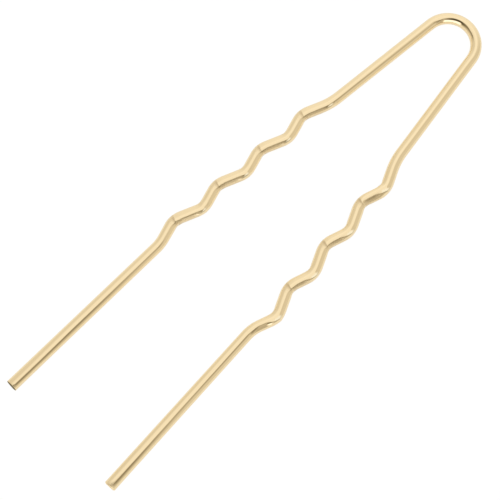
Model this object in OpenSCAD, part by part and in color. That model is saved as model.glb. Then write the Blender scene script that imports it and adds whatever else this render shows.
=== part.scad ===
// A U-shaped hairpin: one length of round wire, with four crimped waves on each leg.
// It lies flat in the XY plane. +Y runs from the tips to the bend, and Z = 0 is its underside.

/* [Wire] */
// Diameter of the wire
wire_d = 1.4; // [1.2:0.1:1.6]
// Radius that rounds the edge of each cut end
end_round = 0.3; // [0.1:0.05:0.4]

/* [Bend and shoulders] */
// Radius of the round bend, at the wire's centre
bend_r = 3.5; // [3:0.1:4.5]
// Length of each leg from the bend to its first crimp
shoulder_l = 16.75; // [12:0.25:22]

/* [Crimped waves] */
// Number of waves on each leg
waves = 4; // [2:1:5]
// Length of one wave
wave_l = 7; // [6.5:0.25:8]
// Share of a wave's length that lies before its outer corner
crest_share = 0.54; // [0.46:0.02:0.56]
// Radius of the corners between crimps, at the wire's centre
crimp_r = 3.4; // [2:0.1:3.6]
// Radius of the gentle corner between shoulder and waves
lead_r = 9; // [4:0.5:10]
// Radius of the corner between waves and tail
exit_r = 5.3; // [3:0.1:6]

/* [Left leg] */
// Degrees that the left shoulder flares outward
left_flare = 6.6; // [4:0.1:9]
// Degrees that the left leg's line of waves leans outward
left_lean = 5.5; // [3:0.1:6]
// Distance of the left leg's outer corners from the line of its inner ones
left_depth = 1.25; // [1:0.05:1.5]
// Degrees that the left tail splays outward
left_splay = 1.3; // [0:0.1:3]
// Length of the left tail, from the last crimp to the tip
left_tail = 25.1; // [18:0.1:30]

/* [Right leg] */
// Degrees that the right shoulder flares outward
right_flare = 7.4; // [4:0.1:9]
// Degrees that the right leg's line of waves leans outward
right_lean = 3.9; // [3:0.1:6]
// Distance of the right leg's outer corners from the line of its inner ones
right_depth = 1.4; // [1:0.05:1.5]
// Degrees that the right tail splays outward
right_splay = 2.1; // [0:0.1:3]
// Length of the right tail, from the last crimp to the tip
right_tail = 25.4; // [18:0.1:30]

/* [Hidden] */
$fn = 32;

GOLD = [0.88, 0.76, 0.52];
wire_r = wire_d / 2;

// The wire is a hair thicker in its arcs, and each straight reaches a little way into the arcs on
// both sides of it, so that no two surfaces lie on each other and all of it makes one solid
arc_wire_r = wire_r + 0.005;
reach = 0.03;

// Straight runs of a leg in the order in which the wire is bent, from the bend to the tip. A row
// holds the degrees that the run leans outward, its length from corner to corner, and the radius
// of the corner that it starts from.
function run(lean, length, radius) = [lean, length, radius];
function lean_of(r) = r[0];
function length_of(r) = r[1];
function radius_of(r) = r[2];

function leg_runs(flare, lean, depth, splay, tail) =
    let (
        crest_l = crest_share * wave_l,
        trough_l = wave_l - crest_l,
        rise = run(lean + atan(depth / crest_l), norm([crest_l, depth]), crimp_r),
        fall = run(lean - atan(depth / trough_l), norm([trough_l, depth]), crimp_r)
    ) [
        run(flare, shoulder_l, bend_r),
        run(lean_of(rise), length_of(rise), lead_r),
        fall,
        for (wave = [2 : waves]) each [rise, fall],
        run(splay, tail, exit_r)
    ];

LEFT = leg_runs(left_flare, left_lean, left_depth, left_splay, left_tail);
RIGHT = leg_runs(right_flare, right_lean, right_depth, right_splay, right_tail);

// The wire's turn into a run, counted outward. It comes out of the top of the bend lying across
// the pin.
function turn(leg, i) = i == 0 ? lean_of(leg[0]) - 90 : lean_of(leg[i]) - lean_of(leg[i - 1]);

// The length that a corner's arc takes off the runs on both sides of it, which is at most a set
// share of the shorter one, and the radius that the arc then has. The bend takes nothing off the
// shoulder, and the tip has no arc.
most_taken = 0.48;
function taken(leg, i) =
    i == 0 || i == len(leg) ? 0 : min(
        radius_of(leg[i]) * tan(abs(turn(leg, i)) / 2),
        most_taken * min(length_of(leg[i - 1]), length_of(leg[i]))
    );
function arc_radius(leg, i) =
    i == 0 ? radius_of(leg[0]) : taken(leg, i) / tan(abs(turn(leg, i)) / 2);
function free_length(leg, i) = length_of(leg[i]) - taken(leg, i) - taken(leg, i + 1);

// Distance from the bend's centre down to a leg's tip
function total(values) = values * [for (v = values) 1];
function tip_drop(leg) =
    total([for (r = leg) length_of(r) * cos(lean_of(r))]) - bend_r * sin(lean_of(leg[0]));

// The origin is at the middle of the pin's length
bend_y = (max(tip_drop(LEFT), tip_drop(RIGHT)) - bend_r - arc_wire_r) / 2;

// An arc of wire that starts at the origin along +X and turns left, or right if it is negative
module arc(radius, turn) {
    side = sign(turn);
    translate([0, side * radius, 0]) rotate(min(0, turn) - side * 90)
        rotate_extrude(angle = abs(turn)) translate([radius, 0]) circle(r = arc_wire_r);
}

// Moves its children from the start of such an arc to its end
module after_arc(radius, turn) {
    side = sign(turn);
    translate([0, side * radius, 0]) rotate(turn) translate([0, -side * radius, 0]) children();
}

// A straight stretch of wire along X, between two places on it
module straight(from, to) {
    translate([from, 0, 0]) rotate([0, 90, 0]) cylinder(r = wire_r, h = to - from);
}

// The last of the wire, with the edge of its cut end rounded over
module cut_end() {
    rotate([0, 90, 0]) rotate_extrude() {
        square([wire_r - end_round, end_round]);
        intersection() {
            translate([wire_r - end_round, 0]) circle(r = end_round);
            translate([wire_r - end_round, 0]) square(end_round);
        }
    }
}

// Bends a leg's wire from run i on: the corner, the straight, and then all that follows them
module bent_wire(leg, i = 0) {
    is_tail = i == len(leg) - 1;
    straight_l = free_length(leg, i) - (is_tail ? end_round : 0);
    arc(arc_radius(leg, i), turn(leg, i));
    after_arc(arc_radius(leg, i), turn(leg, i)) {
        straight(-reach, straight_l + (is_tail ? 0 : reach));
        translate([straight_l, 0, 0]) {
            if (is_tail) cut_end();
            else bent_wire(leg, i + 1);
        }
    }
}

// The whole pin: both legs start at the top of the bend
module pin_wire() {
    color(GOLD) translate([0, bend_y + bend_r, arc_wire_r]) {
        bent_wire(RIGHT);
        mirror([1, 0, 0]) bent_wire(LEFT);
    }
}

pin_wire();
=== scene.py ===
import math

import bmesh
import bpy
from mathutils import Matrix, Vector


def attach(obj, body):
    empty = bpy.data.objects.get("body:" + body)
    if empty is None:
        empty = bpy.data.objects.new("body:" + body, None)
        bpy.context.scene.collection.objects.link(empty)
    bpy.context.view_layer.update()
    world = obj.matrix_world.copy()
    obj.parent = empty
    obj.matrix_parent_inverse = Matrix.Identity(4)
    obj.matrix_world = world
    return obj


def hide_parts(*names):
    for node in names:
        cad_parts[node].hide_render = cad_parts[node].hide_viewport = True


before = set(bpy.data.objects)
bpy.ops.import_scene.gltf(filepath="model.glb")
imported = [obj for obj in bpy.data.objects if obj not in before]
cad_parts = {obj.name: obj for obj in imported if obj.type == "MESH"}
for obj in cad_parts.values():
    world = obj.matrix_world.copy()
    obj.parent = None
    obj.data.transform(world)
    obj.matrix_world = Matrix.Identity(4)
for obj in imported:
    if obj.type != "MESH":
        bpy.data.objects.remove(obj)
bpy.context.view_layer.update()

# Sizes are in millimetres until a mesh is finished, and the frame is in metres
MM = 0.001

# The wire, and where its centre runs above the floor
WIRE_R = 0.7
WIRE_Z = 0.705
RING_SIDES = 48

# The bend, the shoulders and the waves, as the pin is bent from its wire. In its share of a wave
# the wire runs outward, and in the rest it runs back. The waves have sharp corners. A slack one
# leads into them, and another leads out into the tail.
BEND_R = 3.5
BEND_CENTRE_Y = 32.6363
SHOULDER_L = 16.75
WAVES = 4
WAVE_L = 7.0
CREST_SHARE = 0.54
LEAD_R = 9.0
CRIMP_R = 2.7
EXIT_R = 5.3

# What is each leg's own.
# hand: 1 on the right and -1 on the left.
# flare, lean, splay: degrees outward of the shoulder, of the crimps and of the tail.
# depth, tail: how far out a wave runs, and how long the tail is.
# shoves: how far the top of each shoved crimp is moved to the right.
# tail_shove, tip_shove: how far outward the top of the tail is moved, and its tip besides.
# stray: how far outward the whole tail is moved.
# fill: how far the round corners are filled out, as a share of what a sharp corner would add.
# glint_at, glint_long: how far past its corner the middle of a pale painted glint is, and half
# its length.
# glint_out, glint_wide: its middle and half its width across, as shares of the wire's radius.
# glint_slant: how far its middle moves across for each millimetre along.
# facet: how far the wire is raised beside the spot, so that the spot lies flat.
# end_round, end_slant: how far the cut's edge is rounded, and how far its top is cut back.
# end_dark_and_dull, dark_and_dull_to: how much the cut is painted dark, as a painted reflection,
# and made dull, and the length over which that fades.
LEGS = {
    "left": dict(
        hand=-1, flare=6.6, lean=5.5, depth=1.25, splay=1.3, tail=25.1,
        shoves=(0.095, 0.095, 0.09, 0.175), tail_shove=0.01, tip_shove=-0.16, stray=0.0, fill=0.2,
        glint_at=0.3, glint_long=0.5, glint_out=0.6, glint_wide=0.16, glint_slant=0.1, facet=0.105,
        end_round=0.06, end_slant=0.2, end_dark_and_dull=1.0, dark_and_dull_to=0.09,
    ),
    "right": dict(
        hand=1, flare=7.4, lean=3.9, depth=1.4, splay=2.1, tail=25.4,
        shoves=(-0.19, 0.015, 0.075), tail_shove=-0.08, tip_shove=0.05, stray=-0.05, fill=0.5,
        glint_at=0.1, glint_long=0.54, glint_out=0.54, glint_wide=0.2, glint_slant=-0.14, facet=0.12,
        end_round=0.22, end_slant=0.05, end_dark_and_dull=0.5, dark_and_dull_to=1.4,
    ),
}

# How far apart the rings of the mesh are: at the crimps, round the bend, and on the straight parts
# away from both. The last of the tail is one stretch, whose edge is rounded in a few segments. Points
# closer than WELD are one point.
FINE_STEP = 0.07
BEND_STEP = 0.15
LONG_STEP = 0.4
NEAR_CRIMPS = 2.0
NEAR_END = 0.6
END_SEGMENTS = 6
WELD = 0.001

# The wire is pressed a little wider than it is high, most of all where it has been crimped and at
# its tips. The width changes over CRIMP_EASE either side of the first corner, and the tip's shove
# comes in over TIP_SHARE of the tail.
WIDE_BEND = 1.035
WIDE_CRIMPED = 1.085
WIDE_TAIL = 1.04
WIDE_TIP = 1.1
CRIMP_EASE = 3.0
TIP_SHARE = (0.55, 1)

# What the crimping tool leaves at a corner of full turn, and how far along the wire that reaches.
# A pair of numbers says where a mark sets in and where it is whole. Across the wire they are
# shares of its radius, towards the side that the mark is on.
FULL_TURN = 42.0
MARK_REACH = 5.0

# Its tooth presses a notch into the hollow side of each sharp corner. The notch gets shallower by
# NOTCH_SLOPE for each millimetre along, from a floor that is rounded over NOTCH_SHARP. The notch's
# hollow side is painted darker brown, as painted shade, and made rougher.
NOTCH_DEPTH = 0.10
NOTCH_SLOPE = 0.11
NOTCH_SHARP = 0.2
NOTCH_SIDE = (0.4, 0.9)
NOTCH_SHADE_BRUISE = 0.4

# It shoves the top of every other crimp to the right, by SHOVE_GAIN more at the crimp's end than at
# its start. The shove sets in over SHOVE_EASE either side of the start, and stops over SHOVE_STOP
# either side of the end.
SHOVE_GAIN = 0.08
SHOVE_EASE = 0.4
SHOVE_STOP = 0.6

# That crimp ends in a step down, from STEP_FROM to STEP_TO past its corner, which is gone by
# STEP_END. The step lies aslant, by STEP_SLANT along for each millimetre across, and it loses a
# share of its depth, STEP_FADE, on the hollow side. Where it drops, it is painted darker brown, as
# painted shade, and made rougher.
STEP_DEPTH = 0.045
STEP_FROM = -0.05
STEP_TO = 0.15
STEP_END = 1.4
STEP_SLANT = 0.34
STEP_FADE = 0.85
STEP_SIDE = (-0.25, 0.45)
STEP_SHADE_BRUISE = 0.4

# Where the step starts, a band across the wire is painted darker brown and made rougher, as the
# painted shade of a crease that the shape itself does not have; less so towards the wire's sides
CREASE_WIDE = 0.5
CREASE_SHADE_BRUISE = 0.8
CREASE_HOLLOW_FADE = 0.8
CREASE_HOLLOW = (0.1, 0.8)
CREASE_ROUND_FADE = 0.5
CREASE_ROUND = (0.4, 1)

# The right flank of that crimp is painted darker brown, as a painted dark reflection, and made
# rougher. FLANK_START is told in lengths of the crimp.
FLANK_SHADE_BRUISE = 0.5
FLANK_SIDE = (0.15, 0.4)
FLANK_START = (-0.9, -0.6)
FLANK_STOP = (-0.2, 0)

# The tool fills out the right side of the round corner that the crimp starts from, from FILL_FROM
# of the wire's radius out and in full at FILL_TO, and less by FILL_FADE at the wire's very side
FILL_FROM = 0.2
FILL_TO = 0.5
FILL_FADE = 0.3

# There the wire's top also has a pale spot with a rim, a painted glint that is a little rougher.
# The spot lies on a facet that reaches out to the wire's side, back towards the bend, and on
# towards the tip. The last two are told in half lengths of the spot.
GLINT_RIM = (0.7, 1.1)
GLINT_TOP = (0, 0.2)
FACET_OUT = 1.05
FACET_BACK = (0.3, 1.8)
FACET_ON = (0.3, 3)


def leg_runs(leg):
    """The straight runs from the bend to the tip: degrees of outward lean, length, corner radius."""
    crest_l = CREST_SHARE * WAVE_L
    trough_l = WAVE_L - crest_l
    depth = leg["depth"]
    rise_lean = leg["lean"] + math.degrees(math.atan(depth / crest_l))
    fall_lean = leg["lean"] - math.degrees(math.atan(depth / trough_l))
    rise_l = math.hypot(crest_l, depth)
    fall_l = math.hypot(trough_l, depth)
    runs = [(leg["flare"], SHOULDER_L, BEND_R)]
    for wave in range(WAVES):
        runs.append((rise_lean, rise_l, LEAD_R if wave == 0 else CRIMP_R))
        runs.append((fall_lean, fall_l, CRIMP_R))
    runs.append((leg["splay"], leg["tail"], EXIT_R))
    return runs


def leg_stretches(leg):
    """A leg's wire in the order in which it is bent.

    Each stretch is its length, its turn in degrees, counted outward, and its distance between
    rings. With them come the crimped corners: how far along the wire each is, and its turn.
    """
    runs = leg_runs(leg)
    turns = [runs[0][0] - 90] + [runs[i][0] - runs[i - 1][0] for i in range(1, len(runs))] + [0]
    taken = [0.0] + [
        runs[i][2] * math.tan(math.radians(abs(turns[i])) / 2) for i in range(1, len(runs))
    ] + [0.0]
    stretches = []
    corners = []
    fed = 0.0
    for i, (lean, length, radius) in enumerate(runs):
        arc_l = radius * math.radians(abs(turns[i]))
        if i:
            corners.append((fed + arc_l / 2, turns[i]))
        free = length - taken[i] - taken[i + 1]
        stretches.append((arc_l, turns[i], BEND_STEP if i == 0 else FINE_STEP))
        if i == 0:
            stretches.append((free - NEAR_CRIMPS, 0, LONG_STEP))
            stretches.append((NEAR_CRIMPS, 0, FINE_STEP))
        elif i < len(runs) - 1:
            stretches.append((free, 0, FINE_STEP))
        else:
            stretches.append((NEAR_CRIMPS, 0, FINE_STEP))
            stretches.append((free - NEAR_CRIMPS - NEAR_END, 0, LONG_STEP))
            stretches.append((NEAR_END, 0, NEAR_END))
        fed += arc_l + free
    return stretches, corners


def smooth(value, low, high):
    """0 below low, 1 above high, and smooth between them."""
    share = max(0.0, min(1.0, (value - low) / (high - low)))
    return share * share * (3 - 2 * share)


def window(value, opens, closes):
    """0 before the pair opens, 1 between the pairs, 0 past the pair closes, and smooth in them."""
    return smooth(value, *opens) * (1 - smooth(value, *closes))


def wire_section(fed, corners, leg):
    """Half the wire's width, how far its top leans outward, and how far all of it strays outward."""
    first = corners[0][0]
    crimped = smooth(fed, first - CRIMP_EASE, first + CRIMP_EASE)
    in_tail = smooth(fed, corners[-2][0], corners[-1][0])
    down_tail = (fed - corners[-1][0]) / leg["tail"]
    wide = WIDE_BEND + (WIDE_CRIMPED - WIDE_BEND) * crimped
    wide += (WIDE_TAIL - WIDE_CRIMPED) * in_tail
    wide += (WIDE_TIP - WIDE_TAIL) * max(0, down_tail)
    lean = leg["tail_shove"] * in_tail + leg["tip_shove"] * smooth(down_tail, *TIP_SHARE)
    return WIRE_R * wide, lean, leg["stray"] * in_tail


def tool_marks(fed, corners, leg):
    """What the tool has left fed along the wire, one mark for each corner near by.

    A corner whose round side is the right one is round, and any other ends a shoved crimp. The
    slack corner into the tail has no marks, and the one into the waves only a round corner's spot.
    hollow is 1 where the corner's hollow side is the outward one, and -1 where it is the inward one.
    """
    marks = []
    for i, (at, turn) in enumerate(corners[:-1]):
        far = fed - at
        is_round = turn * leg["hand"] < 0
        if abs(far) > MARK_REACH or (i == 0 and not is_round):
            continue
        share = min(1.0, abs(turn) / FULL_TURN)
        slope = NOTCH_SLOPE * (math.hypot(far, NOTCH_SHARP) - NOTCH_SHARP)
        mark = dict(
            far=far, is_round=is_round, hollow=math.copysign(1, turn),
            tooth=max(0.0, NOTCH_DEPTH * share - slope) if i else 0.0,
            shove=0.0, step=0.0, flank=0.0, fill=0.0,
        )
        if not is_round:
            run = at - corners[i - 1][0]
            past_middle = 0.5 + far / run
            shove = leg["shoves"][(i - 1) // 2] + SHOVE_GAIN * past_middle
            shove *= smooth(far, -run - SHOVE_EASE, -run + SHOVE_EASE)
            mark["shove"] = shove * (1 - smooth(far, -SHOVE_STOP, SHOVE_STOP))
            mark["step"] = STEP_DEPTH * share
            flank_start = [share_of_run * run for share_of_run in FLANK_START]
            mark["flank"] = FLANK_SHADE_BRUISE * window(far, flank_start, FLANK_STOP)
        elif i:
            left_to_turn = math.radians(abs(turn)) / 2 - abs(far) / CRIMP_R
            if left_to_turn > 0:
                mark["fill"] = leg["fill"] * (CRIMP_R + WIRE_R) * (1 / math.cos(left_to_turn) - 1)
        marks.append(mark)
    return marks


def mark_shade_and_bruise(mark, toward, past, drop):
    """How much painted shade and roughness a corner's notch, step, crease and flank give the wire."""
    crease = window(past, (STEP_FROM, 0), (0, CREASE_WIDE))
    crease *= (
        CREASE_SHADE_BRUISE - CREASE_HOLLOW_FADE * smooth(toward, *CREASE_HOLLOW)
        - CREASE_ROUND_FADE * smooth(-toward, *CREASE_ROUND)
    )
    shade_bruise = NOTCH_SHADE_BRUISE * mark["tooth"] / NOTCH_DEPTH * smooth(toward, *NOTCH_SIDE)
    shade_bruise += STEP_SHADE_BRUISE * drop / STEP_DEPTH
    shade_bruise += mark["flank"] * smooth(toward, *FLANK_SIDE)
    return shade_bruise + crease * mark["step"] / STEP_DEPTH


def glint_facet(mark, leg, across, up):
    """How much painted glint the wire's top has beside a round corner, and how far the facet there is
    raised.
    """
    middle = leg["glint_out"] + leg["glint_slant"] * mark["far"]
    half = leg["glint_wide"]
    along = (mark["far"] - leg["glint_at"]) / leg["glint_long"]
    spot = along ** 2 + ((across - middle) / half) ** 2
    facet = window(across, (middle - half, middle + half), (middle + half, FACET_OUT))
    facet *= 1 - smooth(-along, *FACET_BACK)
    facet *= 1 - smooth(along, *FACET_ON)
    on_top = smooth(up, *GLINT_TOP)
    return (1 - smooth(spot, *GLINT_RIM)) * on_top, leg["facet"] * facet * on_top


def shape_ring(ring, centre, outward, fed, corners, leg, shade_and_bruise, glint_and_wear):
    """Gives one ring, fed along the wire, its width and the marks of the crimping tool.

    toward is 1 on the hollow side of a corner and -1 on its round side. How much painted shade and
    roughness the tool's marks give each point, and how much painted glint, go into the two layers
    passed in last.
    """
    half, lean, stray = wire_section(fed, corners, leg)
    marks = tool_marks(fed, corners, leg)
    for v, (out, up) in ring:
        side = half * out + lean * up * up
        rise = WIRE_R * up
        shade_bruise = 0.0
        glint_share = 0.0
        for mark in marks:
            toward = out * mark["hollow"]
            inward = min(side * mark["hollow"], half - mark["tooth"])
            inward += mark["shove"] * up * up
            filled = smooth(-toward, FILL_FROM, FILL_TO)
            filled *= 1 - FILL_FADE * smooth(-toward, FILL_TO, 1)
            inward -= mark["fill"] * filled
            side = inward * mark["hollow"]
            past = mark["far"] - STEP_SLANT * inward
            drop = window(past, (STEP_FROM, STEP_TO), (STEP_TO, STEP_END))
            drop *= mark["step"] * (1 - STEP_FADE * smooth(toward, *STEP_SIDE))
            rise -= drop * up * abs(up)
            shade_bruise += mark_shade_and_bruise(mark, toward, past, drop)
            if mark["is_round"]:
                spot, lift = glint_facet(mark, leg, -toward, up)
                glint_share += spot
                rise += lift
        v.co = centre + outward * (side + stray) + Vector((0, 0, rise))
        v[shade_and_bruise] = min(1.0, shade_bruise)
        v[glint_and_wear] = min(1.0, glint_share)


def wire_mesh():
    """An empty mesh with room for what the gold reads at each point.

    wire_lie is the point's place across and along the wire. The three float layers after it say
    how much painted shade and roughness from the tool's marks, how much painted glint, and how much
    of the cut end, which is painted dark, each point has.
    """
    mesh = bmesh.new()
    mesh.verts.layers.float_vector.new("wire_lie")
    for name in ("shade_and_bruise", "glint_and_wear", "cut"):
        mesh.verts.layers.float.new(name)
    return mesh


def cut_off(part, rim, tip, along, leg):
    """Closes the last ring with the leg's own kind of cut."""
    bmesh.ops.edgeloop_fill(part, edges=rim)
    bmesh.ops.bevel(
        part, geom=rim, offset=leg["end_round"], segments=END_SEGMENTS, profile=0.5,
        affect="EDGES", material=-1
    )
    cut = part.verts.layers.float["cut"]
    for v in part.verts:
        short = (tip - v.co).dot(along)
        height = v.co.z / WIRE_Z / 2
        v[cut] = leg["end_dark_and_dull"] * (1 - smooth(short, 0, leg["dark_and_dull_to"]))
        v.co -= along * leg["end_slant"] * height * (1 - short / NEAR_END)


def bend_stretch(whole, place, heading, fed, leg, stretch, corners, is_last):
    """Draws one stretch of wire out of a ring and adds it to the whole.

    Returns the place, heading and length at its far end.
    """
    hand = leg["hand"]
    length, turn, step = stretch
    turn = math.radians(turn * hand)
    part = wire_mesh()
    stand = Matrix.Translation(place) @ Matrix.Rotation(heading, 4, "Z")
    stand = stand @ Matrix.Rotation(math.radians(90), 4, "Y")
    ring = bmesh.ops.create_circle(
        part, cap_ends=False, segments=RING_SIDES, radius=WIRE_R, matrix=stand
    )["verts"]
    along = Vector((math.cos(heading), math.sin(heading), 0))
    outward = Vector((-along.y, along.x, 0)) * hand
    sides = [((v.co - place).dot(outward) / WIRE_R, (v.co.z - place.z) / WIRE_R) for v in ring]

    count = math.ceil(length / step)
    if turn:
        radius = length / turn
        centre = place + Vector((-along.y, along.x, 0)) * radius
        travel = Vector()
    else:
        centre = place
        travel = along * length / count
    end = bmesh.ops.spin(
        part, geom=ring + part.edges[:], cent=centre, axis=(0, 0, 1), dvec=travel, angle=turn,
        steps=count
    )["geom_last"]

    lie = part.verts.layers.float_vector["wire_lie"]
    shade_and_bruise = part.verts.layers.float["shade_and_bruise"]
    glint_and_wear = part.verts.layers.float["glint_and_wear"]
    part.verts.ensure_lookup_table()
    for i in range(count + 1):
        verts = part.verts[i * RING_SIDES:(i + 1) * RING_SIDES]
        here = fed + length * i / count
        about = Matrix.Rotation(turn * i / count, 3, "Z")
        middle = centre + about @ (place - centre) + travel * i
        for v, (out, up) in zip(verts, sides):
            v[lie] = (out, up, hand * here)
        shape_ring(
            list(zip(verts, sides)), middle, about @ outward, here, corners, leg, shade_and_bruise, glint_and_wear
        )
    if is_last:
        rim = [g for g in end if isinstance(g, bmesh.types.BMEdge)]
        cut_off(part, rim, middle, along, leg)
    held = bpy.data.meshes.new("stretch")
    part.to_mesh(held)
    part.free()
    whole.from_mesh(held)
    bpy.data.meshes.remove(held)
    return middle, heading + turn, fed + length


def put_in_order(mesh):
    """Puts edges and faces in the order of their points, because spinning leaves it to chance."""
    mesh.verts.index_update()
    count = len(mesh.verts)

    def place(part):
        told = 0
        for index in sorted(v.index for v in part.verts)[:3]:
            told = told * count + index
        return told

    mesh.edges.sort(key=place)
    mesh.faces.sort(key=place)


def bend_pin():
    """The whole pin as one closed mesh, each leg bent from the top of the bend to its tip."""
    whole = wire_mesh()
    for leg in LEGS.values():
        place = Vector((0, BEND_CENTRE_Y + BEND_R, WIRE_Z))
        heading = 0.0 if leg["hand"] > 0 else math.pi
        fed = 0.0
        stretches, corners = leg_stretches(leg)
        for stretch in stretches:
            place, heading, fed = bend_stretch(
                whole, place, heading, fed, leg, stretch, corners, stretch is stretches[-1]
            )
    bmesh.ops.remove_doubles(whole, verts=whole.verts, dist=WELD)
    put_in_order(whole)
    return whole


def finish_piece(mesh, name, material):
    """Turns a finished mesh into a smooth object in metres."""
    bmesh.ops.recalc_face_normals(mesh, faces=mesh.faces)
    bmesh.ops.scale(mesh, vec=(MM, MM, MM), verts=mesh.verts)
    data = bpy.data.meshes.new(name)
    mesh.to_mesh(data)
    mesh.free()
    for face in data.polygons:
        face.use_smooth = True
    piece = bpy.data.objects.new(name, data)
    bpy.context.scene.collection.objects.link(piece)
    data.materials.append(material)
    return piece


class Sock:
    """A value in a node tree, so that shader maths reads as plain maths."""

    def __init__(self, tree, value):
        self.tree = tree
        self.value = value

    def feed(self, slot, value):
        """Gives a socket a value, or a link if the value comes from a node."""
        if isinstance(value, Sock):
            value = value.value
        if isinstance(value, bpy.types.NodeSocket):
            self.tree.links.new(value, slot)
        else:
            slot.default_value = value

    def node(self, kind, settings=None, out=0, **inputs):
        """Adds a node: its settings first, and then the values or links of its sockets.

        A socket is named, with _ for a space, or told by its place among those in use, as in _0.
        """
        made = self.tree.nodes.new(kind)
        for key, value in (settings or {}).items():
            setattr(made, key, value)
        for key, value in inputs.items():
            slots = [slot for slot in made.inputs if slot.enabled]
            if key[0] == "_":
                self.feed(slots[int(key[1:])], value)
            else:
                self.feed([slot for slot in slots if slot.name == key.replace("_", " ")][0], value)
        results = [slot for slot in made.outputs if slot.enabled]
        return Sock(self.tree, results[out]) if results else None

    def math(self, operation, *others):
        values = {"_%d" % i: value for i, value in enumerate((self,) + others)}
        return self.node("ShaderNodeMath", dict(operation=operation), **values)

    def __add__(self, other):
        return self.math("ADD", other)

    def __sub__(self, other):
        return self.math("SUBTRACT", other)

    def __mul__(self, other):
        return self.math("MULTIPLY", other)

    def __truediv__(self, other):
        return self.math("DIVIDE", other)

    def __rsub__(self, other):
        return Sock(self.tree, other).math("SUBTRACT", self)

    __radd__ = __add__
    __rmul__ = __mul__

    def step(self, low, high):
        """0 below low, 1 above high, and smooth between them."""
        return self.node(
            "ShaderNodeMapRange", dict(interpolation_type="SMOOTHSTEP"),
            Value=self, From_Min=low, From_Max=high,
        )

    def level(self, start, *changes):
        """start, with each change added smoothly as this passes from its first value to its last."""
        reached = start
        for change, low, high in changes:
            reached = reached + change * self.step(low, high)
        return reached

    def between(self, low, high):
        """low where this is 0, high where it is 1, and a blend of the two where it is neither."""
        return low + (high - low) * self

    def colour(self, low, high):
        """The same for colours."""
        return self.node(
            "ShaderNodeMix", dict(data_type="RGBA", clamp_factor=False), Factor=self, A=low, B=high,
        )


# The gold where it is deepest and palest, the painted shade on the tool's marks, the pale painted
# glint beside the round corners, and the dark painted reflection on the cut ends
DEEP_GOLD = (0.935, 0.755, 0.455, 1)
PALE_GOLD = (0.97, 0.80, 0.505, 1)
PAINTED_SHADE_GOLD = (0.54, 0.40, 0.22, 1)
PAINTED_GLINT_GOLD = (0.98, 0.86, 0.60, 1)
PAINTED_CUT_DARK = (0.20, 0.165, 0.085, 1)
PAINTED_SHADE_SHARE = 0.5
CUT_SHARE = 0.9
CUT_FROM = 0.5

# Its grain: how many spots there are to the wire's radius across and to a millimetre along, how many
# times each kind breaks up finer, and how much the finer ones count. A speck shows where its grain
# passes SPECK_SHOWS, and the gold's tone follows the cloudy and the drawn grain.
DRAWN_GRAIN = (16.0, 16.0, 0.3)
DRAWN_DETAIL = 3.0
CLOUDY_GRAIN = (1.6, 1.6, 0.45)
CLOUDY_DETAIL = 2.0
SPECK_GRAIN = (7.0, 7.0, 6.0)
SPECK_DETAIL = 4.0
FINER_COUNTS = 0.6
SPECK_SHOWS = (0.62, 0.75)
CLOUDY_TONE = 0.6
DRAWN_TONE = 0.4

# How rough the polished wire is, and how much rougher each kind of grain and mark makes it
POLISHED_ROUGH = 0.025
DRAWN_ROUGH = 0.04
SPECK_ROUGH = 0.05
BRUISED_ROUGH = 0.36
GLINT_SPOT_ROUGH = 0.12
CUT_ROUGH = 0.9

# How high its unevenness is in metres, and the share of each kind in it
GRAIN_HEIGHT = 0.000004
DRAWN_HEIGHT = 0.15
CLOUDY_HEIGHT = 0.85
CUT_HEIGHT = 2.0


def polished_gold():
    """Light gold of drawn and polished wire, with painted shade on the tool's marks, pale painted
    glints, and dull cut ends painted dark as a painted reflection.
    """
    material = bpy.data.materials.new("gold_wire")
    material.use_nodes = True
    tree = Sock(material.node_tree, None)
    shader = tree.tree.nodes["Principled BSDF"]
    lie = tree.node("ShaderNodeAttribute", dict(attribute_name="wire_lie"), 1)

    def amount(name):
        return tree.node("ShaderNodeAttribute", dict(attribute_name=name), 2)

    def grain(scale, detail):
        placed = tree.node("ShaderNodeMapping", Vector=lie, Scale=scale)
        return tree.node(
            "ShaderNodeTexNoise", Vector=placed, Scale=1.0, Detail=detail, Roughness=FINER_COUNTS
        )

    shade_and_bruise = amount("shade_and_bruise")
    glint_and_wear = amount("glint_and_wear")
    cut = amount("cut")
    cut_through = cut.step(CUT_FROM, 1)
    drawn = grain(DRAWN_GRAIN, DRAWN_DETAIL)
    cloudy = grain(CLOUDY_GRAIN, CLOUDY_DETAIL)
    specks = grain(SPECK_GRAIN, SPECK_DETAIL)

    gold = (cloudy * CLOUDY_TONE + drawn * DRAWN_TONE).colour(DEEP_GOLD, PALE_GOLD)
    # The tool's marks are painted darker brown: painted shade and painted dark reflections
    gold = (shade_and_bruise * PAINTED_SHADE_SHARE).colour(gold, PAINTED_SHADE_GOLD)
    # A pale painted glint beside each round corner, which is a little rougher too
    gold = glint_and_wear.colour(gold, PAINTED_GLINT_GOLD)
    # The cut end is painted dark olive, as a painted reflection of dark surroundings
    gold = (cut_through * CUT_SHARE).colour(gold, PAINTED_CUT_DARK)
    rough = POLISHED_ROUGH + drawn * DRAWN_ROUGH + specks.step(*SPECK_SHOWS) * SPECK_ROUGH
    rough = rough + shade_and_bruise * BRUISED_ROUGH + glint_and_wear * GLINT_SPOT_ROUGH + cut * CUT_ROUGH
    height = drawn * DRAWN_HEIGHT + cloudy * CLOUDY_HEIGHT + specks * cut_through * CUT_HEIGHT
    bump = tree.node("ShaderNodeBump", Strength=1.0, Distance=GRAIN_HEIGHT, Height=height)
    tree.feed(shader.inputs["Base Color"], gold)
    tree.feed(shader.inputs["Roughness"], rough)
    tree.feed(shader.inputs["Normal"], bump)
    shader.inputs["Metallic"].default_value = 1.0
    return material


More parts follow.
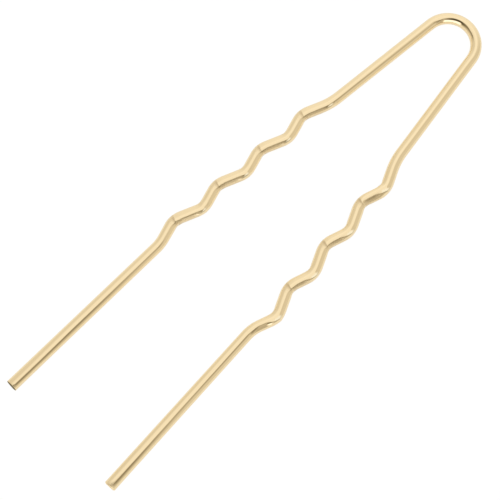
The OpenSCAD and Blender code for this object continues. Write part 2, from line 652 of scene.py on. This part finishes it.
# The directions that the surroundings are told in: to the camera's side, and to its right. Each
# change below is an amount and the pair of values over which it comes in.
FRONT = Vector((0.692, -0.722, 0)).normalized()
SIDE = Vector((-FRONT.y, FRONT.x, 0))
IN_DEGREES = 180 / math.pi

# The lamp lies flat overhead. It is told in its own height above the pin. Its front edge is uneven
# and slants out to the right.
LAMP_LOWEST = 0.05
LAMP_EDGE = 0.09
LAMP_SLANT = 0.25
LAMP_SLANT_FROM = 0.08
LAMP_SLANT_L = 0.32
LAMP_CORNER = (0.12, 0.42, 0.6)
LAMP_BLUR = 0.045
LAMP_LIGHT = 0.925
LAMP_LIGHT_FRONT = (-0.04, -0.6, -0.1)
LAMP_LIGHT_RIGHT = (0.10, -0.5, -0.1)

# Round its middle, which is behind the pin, the lamp's reach changes with the degrees to the right
# of its front, and its edge is softer at the back
LAMP_BACK = 0.35
LAMP_REACH = 0.54
LAMP_REACH_CHANGES = (
    (0.31, -120, -70), (-0.12, 24, 34), (-0.34, 34, 56), (-0.06, 64, 76), (0.21, 80, 130),
)
LAMP_BACK_BLUR = 0.16
LAMP_BACK_TURN = (80, 130)

# The walls change with the degrees to the right of the camera's side. They are palest round the
# back, and a little darker on the right.
WALL_BACK = 165
WALL_LIGHT = 0.98
WALL_SIDES = (-0.22, 15, 75)
WALL_RIGHT = ((-0.05, 40, 70), (0.05, 120, 150))

# In front, where the camera stands, it is dark from the lamp's edge down, and paler below: all pale
# up to PALE_TOP degrees up, and all dark from DARK_FOOT degrees on. These heights, and the light of
# each, change with the degrees to the right too.
AHEAD = ((1, -118, -95), (-1, 80, 105))
DARK_LIGHT = 0.28
DARK_CHANGES = (
    (-0.18, -65, -40), (0.17, 0, 30), (0.31, 24, 30), (-0.31, 34, 44), (0.20, 50, 54.5),
    (-0.07, 56.5, 59.5), (0.33, 62, 85),
)
PALE_LIGHT = 0.76
PALE_CHANGES = ((-0.22, 6, 16), (0.22, 36, 50))
PALE_TOP = 4
PALE_TOP_CHANGES = ((30, 5, 18), (-30, 40, 48), (28, 48, 56))
DARK_FOOT = 46
DARK_FOOT_CHANGE = (12, 0, 30)

# A bright panel stands in front, low down
PANEL_LIGHT = 1.4
PANEL_ACROSS = ((1, -42.5, -32.5), (-1, 19.5, 29.5))
PANEL_TOP = (42.5, 47.5)

# The light from below, how soft the horizon is, and the colours of no light and of full light,
# because what is darker is browner too. The camera itself sees plain white.
FLOOR_LIGHT = 0.82
HORIZON = (-0.03, 0.03)
DARK_TINT = (1.0, 0.87, 0.62, 1)
LIGHT_TINT = (1.0, 0.99, 0.99, 1)
BACKDROP = (0.97, 0.97, 0.97, 1)


def overhead_lamp(front, side, up):
    """Where the lamp is seen, and its light there."""
    high = up.math("MAXIMUM", LAMP_LOWEST)
    ahead = front / high
    right = side / high
    slant = ((right - LAMP_SLANT_FROM) / LAMP_SLANT_L).math("MINIMUM", 1).math("MAXIMUM", 0)
    edge = right.level(LAMP_EDGE + LAMP_SLANT * slant, LAMP_CORNER)
    lamp = 1 - ((ahead - edge) / LAMP_BLUR).step(-1, 1)
    light = right.level(ahead.level(LAMP_LIGHT, LAMP_LIGHT_FRONT), LAMP_LIGHT_RIGHT)
    ahead = ahead + LAMP_BACK
    far = (ahead * ahead + right * right).math("SQRT")
    turn = right.math("ARCTAN2", ahead) * IN_DEGREES
    reach = turn.level(LAMP_REACH, *LAMP_REACH_CHANGES)
    blur = LAMP_BLUR + LAMP_BACK_BLUR * turn.math("ABSOLUTE").step(*LAMP_BACK_TURN)
    return lamp * (1 - ((far - reach) / blur).step(-1, 1)), light


def walls(az, el):
    """The light from all round: the walls, the dark and the pale in front, and the panel."""
    from_back = (az - WALL_BACK).math("ABSOLUTE")
    from_back = from_back.math("MINIMUM", (az + (360 - WALL_BACK)).math("ABSOLUTE"))
    wall = az.level(from_back.level(WALL_LIGHT, WALL_SIDES), *WALL_RIGHT)
    dark = az.level(DARK_LIGHT, *DARK_CHANGES)
    pale = az.level(PALE_LIGHT, *PALE_CHANGES)
    pale_top = az.level(PALE_TOP, *PALE_TOP_CHANGES)
    dark_foot = az.level(DARK_FOOT, DARK_FOOT_CHANGE)
    in_front = el.step(pale_top, dark_foot).between(pale, dark)
    wall = az.level(0, *AHEAD).between(wall, in_front)
    panel = az.level(0, *PANEL_ACROSS) * (1 - el.step(*PANEL_TOP))
    return panel.between(wall, PANEL_LIGHT)


def studio():
    """The soft light of a photographer's table, told by the direction that it comes from."""
    world = bpy.data.worlds.new("studio")
    bpy.context.scene.world = world
    world.use_nodes = True
    world.node_tree.nodes.clear()
    tree = Sock(world.node_tree, None)
    toward = tree.node("ShaderNodeTexCoord")

    def part(axis):
        return tree.node(
            "ShaderNodeVectorMath", dict(operation="DOT_PRODUCT"), _0=toward, _1=axis
        )

    front = part(FRONT)
    side = part(SIDE)
    up = part((0, 0, 1))
    az = side.math("ARCTAN2", front) * IN_DEGREES
    el = up.math("ARCSINE") * IN_DEGREES
    lamp, lamp_light = overhead_lamp(front, side, up)
    light = lamp.between(walls(az, el), lamp_light)
    light = up.step(*HORIZON).between(FLOOR_LIGHT, light)

    seen = tree.node("ShaderNodeLightPath")
    tint = light.colour(DARK_TINT, LIGHT_TINT)
    glow = tree.node("ShaderNodeBackground", Color=tint, Strength=light)
    plain = tree.node("ShaderNodeBackground", Color=BACKDROP)
    blend = tree.node("ShaderNodeMixShader", _0=seen, _1=glow, _2=plain)
    tree.node("ShaderNodeOutputWorld", Surface=blend)


# The floor: its half size, and its glow and grey as the pin mirrors it and as the camera sees it
FLOOR_REACH = 1500
MIRRORED_FLOOR = (0.62, 0.4)
SEEN_FLOOR = (0.95, 0.1)


def table_top():
    """A plain white floor."""
    mesh = bmesh.new()
    bmesh.ops.create_grid(mesh, x_segments=1, y_segments=1, size=FLOOR_REACH)
    material = bpy.data.materials.new("white_floor")
    material.use_nodes = True
    material.node_tree.nodes.clear()
    tree = Sock(material.node_tree, None)

    def paper(glow, grey):
        lit = tree.node("ShaderNodeEmission", Color=(1, 1, 1, 1), Strength=glow)
        matt = tree.node("ShaderNodeBsdfDiffuse", Color=(grey, grey, grey, 1))
        return tree.node("ShaderNodeAddShader", _0=lit, _1=matt)

    seen = tree.node("ShaderNodeLightPath")
    blend = tree.node(
        "ShaderNodeMixShader", _0=seen, _1=paper(*MIRRORED_FLOOR), _2=paper(*SEEN_FLOOR)
    )
    tree.node("ShaderNodeOutputMaterial", Surface=blend)
    floor = finish_piece(mesh, "floor", material)


# The camera: how many degrees it stands to the right of the pin's tips and up, how far off it is,
# where it looks, its lens, and how near and far it sees, which is in metres
CAMERA_AZIMUTH = 43.8
CAMERA_ELEVATION = 76.2
CAMERA_FAR = 184.8
CAMERA_AIM = (0.434, -4.388, 0.72)
CAMERA_LENS = 108
CAMERA_SENSOR = 36
CAMERA_SEES = (0.001, 100)


def camera():
    """The camera at the photograph's angle."""
    azimuth = math.radians(CAMERA_AZIMUTH)
    elevation = math.radians(CAMERA_ELEVATION)
    back = Vector((
        math.sin(azimuth) * math.cos(elevation),
        -math.cos(azimuth) * math.cos(elevation),
        math.sin(elevation),
    ))
    data = bpy.data.cameras.new("camera")
    data.lens = CAMERA_LENS
    data.sensor_width = CAMERA_SENSOR
    data.clip_start, data.clip_end = CAMERA_SEES
    seen_from = bpy.data.objects.new("camera", data)
    seen_from.location = (Vector(CAMERA_AIM) + back * CAMERA_FAR) * MM
    seen_from.rotation_euler = back.to_track_quat("Z", "Y").to_euler()
    bpy.context.scene.collection.objects.link(seen_from)
    bpy.context.scene.camera = seen_from


mesh = bend_pin()
pin = finish_piece(mesh, "wire_pin", polished_gold())
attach(pin, "root")
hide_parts("pin_wire")
table_top()
studio()
camera()
bpy.context.scene.view_settings.view_transform = "Standard"
